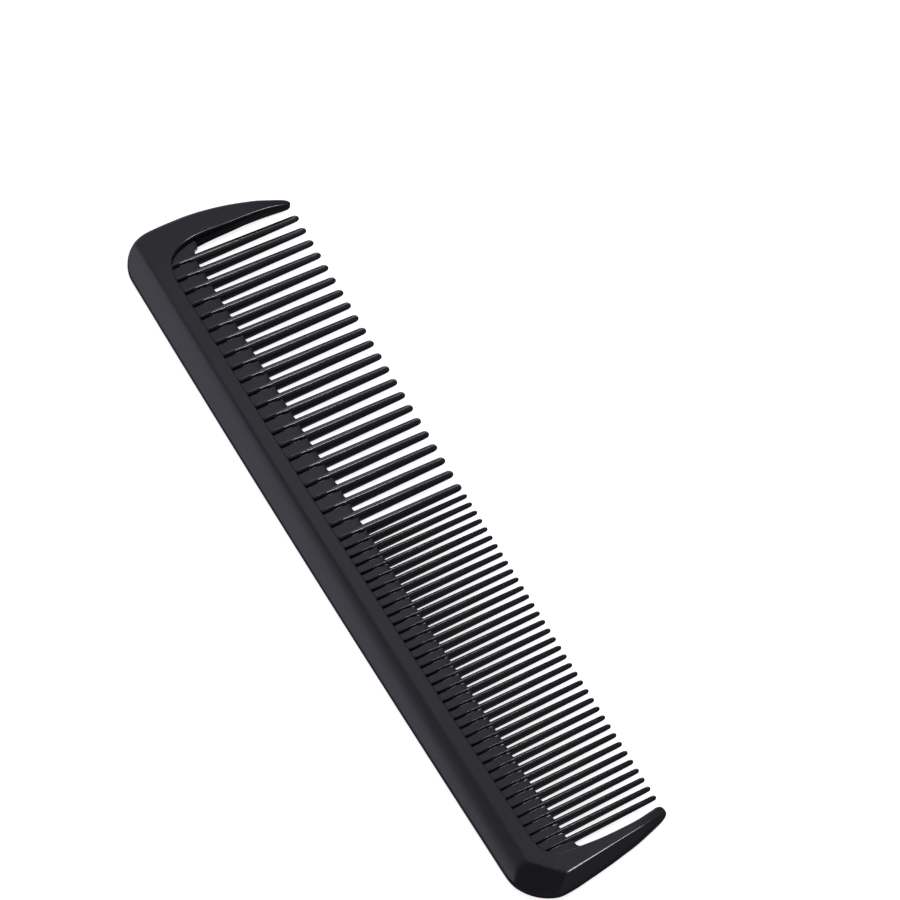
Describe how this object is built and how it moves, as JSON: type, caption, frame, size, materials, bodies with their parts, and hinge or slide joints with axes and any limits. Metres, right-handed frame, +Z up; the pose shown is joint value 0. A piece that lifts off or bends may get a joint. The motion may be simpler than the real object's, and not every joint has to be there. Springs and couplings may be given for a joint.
{
  "type": "hair comb",
  "caption": "Flat dressing comb with a bevelled spine, wide-spaced teeth at one end, fine teeth at the other, and a curved guard at each end.",
  "frame": {"origin": "centre of the footprint, on the face the comb lies on", "axes": "+X along the comb from the wide teeth to the fine teeth, +Y from the spine towards the tooth tips, +Z up out of the face"},
  "size_m": [0.178, 0.0414, 0.0037],
  "materials": {
    "comb_plastic": "near-black charcoal injection-moulded plastic, satin to semi-gloss, smooth"
  },
  "bodies": {
    "root": {"spine": "comb_plastic", "tooth_web": "comb_plastic", "wide_teeth": "comb_plastic", "fine_teeth": "comb_plastic", "wide_end_guard": "comb_plastic", "fine_end_guard": "comb_plastic"}
  },
  "joints": []
}
